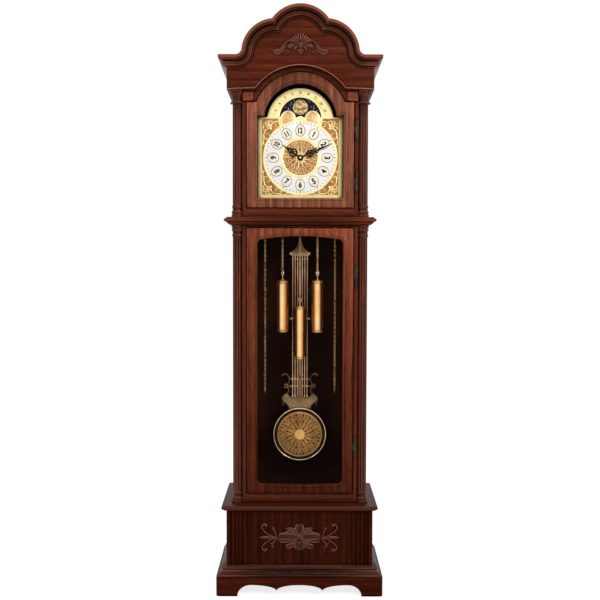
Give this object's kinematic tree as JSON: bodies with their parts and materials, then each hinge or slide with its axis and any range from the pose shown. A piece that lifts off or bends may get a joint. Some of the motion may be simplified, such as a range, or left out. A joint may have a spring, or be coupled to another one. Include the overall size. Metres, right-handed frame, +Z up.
{
  "type": "longcase clock",
  "caption": "Tall wooden longcase clock: scalloped bonnet top, glazed hood and trunk doors, arched moon dial, brass weights on chains, lyre pendulum.",
  "frame": {"origin": "on the floor, under the middle of the case's width and depth", "axes": "+Z up, the clock's front faces -Y, +X to the right seen from the front"},
  "size_m": [0.5576, 0.3, 1.9517],
  "materials": {
    "case_wood": "satin dark reddish-brown",
    "door_wood": "satin reddish-brown",
    "inner_wood": "plain dark brown",
    "brass": "polished",
    "gold": "satin gilt",
    "silvered": "matte cream with dark numbers",
    "steel": "brushed",
    "black": "gloss black",
    "moon_paint": "painted blue sky with moon",
    "glass": "clear"
  },
  "bodies": {
    "case": {"plinth_skirt": "case_wood", "plinth_moulding": "case_wood", "base_floor": "inner_wood", "base_front": "case_wood", "base_side_left": "case_wood", "base_side_right": "case_wood", "base_carving": "case_wood", "base_top_moulding": "case_wood", "back_board": "inner_wood", "trunk_side_left": "case_wood", "trunk_side_right": "case_wood", "hood_side_left": "case_wood", "hood_side_right": "case_wood", "hood_top_board": "inner_wood", "trunk_face_frame": "case_wood", "hood_face_frame": "case_wood", "trunk_column_left": "case_wood", "trunk_column_right": "case_wood", "hood_column_left": "case_wood", "hood_column_right": "case_wood", "waist_moulding": "case_wood", "pediment_board": "case_wood", "pediment_carving": "case_wood", "crown_moulding": "case_wood", "hood_hinge_upper_case_leaf": "brass", "hood_hinge_lower_case_leaf": "brass", "trunk_hinge_upper_case_leaf": "brass", "trunk_hinge_lower_case_leaf": "brass", "seat_board": "inner_wood", "movement_front_plate": "brass", "movement_back_plate": "brass", "dial_plate": "gold", "chapter_ring": "silvered"},
    "trunk_door": {"trunk_door_frame": "door_wood", "trunk_door_glass": "glass", "trunk_hinge_upper_door_leaf": "brass", "trunk_hinge_lower_door_leaf": "brass"},
    "hood_door": {"hood_door_frame": "door_wood", "hood_door_glass": "glass", "hood_hinge_upper_door_leaf": "brass", "hood_hinge_lower_door_leaf": "brass"},
    "centre_arbor": {"centre_wheel": "brass", "minute_hand": "black"},
    "hour_pipe": {"hour_hand": "black"},
    "minute_work": {"minute_wheel": "brass"},
    "great_arbor": {"great_wheel": "brass"},
    "third_arbor": {"third_wheel": "brass"},
    "escape_arbor": {"escape_wheel": "brass"},
    "anchor_arbor": {"anchor": "steel"},
    "pendulum": {"pendulum_rod": "gold", "pendulum_bob": "gold"},
    "moon": {"moon_disc": "moon_paint"},
    "left_weight": {"weight_left": "brass", "chain_left": "brass"},
    "centre_weight": {"weight_centre": "brass", "chain_centre": "brass"},
    "right_weight": {"weight_right": "brass", "chain_right": "brass"},
    "left_chain_wheel": {"chain_wheel_left": "brass"},
    "right_chain_wheel": {"chain_wheel_right": "brass"}
  },
  "joints": [
    {"name": "trunk_door_swing", "type": "hinge", "parent": "case", "child": "trunk_door", "pos_m": [0.186, -0.1045, 0.78], "axis": [0, 0, 1], "range_deg": [0, 110]},
    {"name": "hood_door_swing", "type": "hinge", "parent": "case", "child": "hood_door", "pos_m": [0.186, -0.1045, 1.5], "axis": [0, 0, 1], "range_deg": [0, 110]},
    {"name": "minute_turn", "type": "hinge", "parent": "case", "child": "centre_arbor", "pos_m": [0, 0, 1.4657], "axis": [0, 1, 0], "continuous": true},
    {"name": "hour_turn", "type": "hinge", "parent": "case", "child": "hour_pipe", "pos_m": [0, 0, 1.4657], "axis": [0, 1, 0], "continuous": true},
    {"name": "minute_wheel_turn", "type": "hinge", "parent": "case", "child": "minute_work", "pos_m": [0.01273, 0, 1.45297], "axis": [0, 1, 0], "continuous": true},
    {"name": "great_turn", "type": "hinge", "parent": "case", "child": "great_arbor", "pos_m": [0.03, 0, 1.43072], "axis": [0, 1, 0], "continuous": true},
    {"name": "third_turn", "type": "hinge", "parent": "case", "child": "third_arbor", "pos_m": [-0.01429, 0, 1.48884], "axis": [0, 1, 0], "continuous": true},
    {"name": "escape_turn", "type": "hinge", "parent": "case", "child": "escape_arbor", "pos_m": [0, 0, 1.50504], "axis": [0, 1, 0], "continuous": true},
    {"name": "pendulum_swing", "type": "hinge", "parent": "case", "child": "pendulum", "pos_m": [0, 0.06, 1.52754], "axis": [0, 1, 0], "range_deg": [-3, 3]},
    {"name": "anchor_rock", "type": "hinge", "parent": "case", "child": "anchor_arbor", "pos_m": [0, 0, 1.52754], "axis": [0, 1, 0], "range_deg": [-3, 3]},
    {"name": "moon_turn", "type": "hinge", "parent": "case", "child": "moon", "pos_m": [0, 0, 1.5955], "axis": [0, 1, 0], "continuous": true},
    {"name": "left_weight_drop", "type": "slide", "parent": "case", "child": "left_weight", "axis": [0, 0, -1], "range_m": [-0.19, 0.55], "deforming": ["chain_left"]},
    {"name": "centre_weight_drop", "type": "slide", "parent": "case", "child": "centre_weight", "axis": [0, 0, -1], "range_m": [-0.28, 0.455], "deforming": ["chain_centre"]},
    {"name": "right_weight_drop", "type": "slide", "parent": "case", "child": "right_weight", "axis": [0, 0, -1], "range_m": [-0.19, 0.55], "deforming": ["chain_right"]},
    {"name": "left_chain_wheel_turn", "type": "hinge", "parent": "case", "child": "left_chain_wheel", "pos_m": [-0.09, 0, 1.43072], "axis": [0, 1, 0], "continuous": true},
    {"name": "right_chain_wheel_turn", "type": "hinge", "parent": "case", "child": "right_chain_wheel", "pos_m": [0.09, 0, 1.43072], "axis": [0, 1, 0], "continuous": true}
  ],
  "couplings": [
    {"joint": "hour_turn", "follows": "minute_turn", "ratio": 0.083333},
    {"joint": "minute_wheel_turn", "follows": "minute_turn", "ratio": -0.33333},
    {"joint": "great_turn", "follows": "minute_turn", "ratio": -0.125},
    {"joint": "third_turn", "follows": "minute_turn", "ratio": -7.5},
    {"joint": "escape_turn", "follows": "minute_turn", "ratio": 60},
    {"joint": "anchor_rock", "follows": "pendulum_swing", "ratio": 1},
    {"joint": "left_chain_wheel_turn", "follows": "left_weight_drop", "rad_per_m": 33.333},
    {"joint": "right_chain_wheel_turn", "follows": "right_weight_drop", "rad_per_m": -33.333}
  ]
}
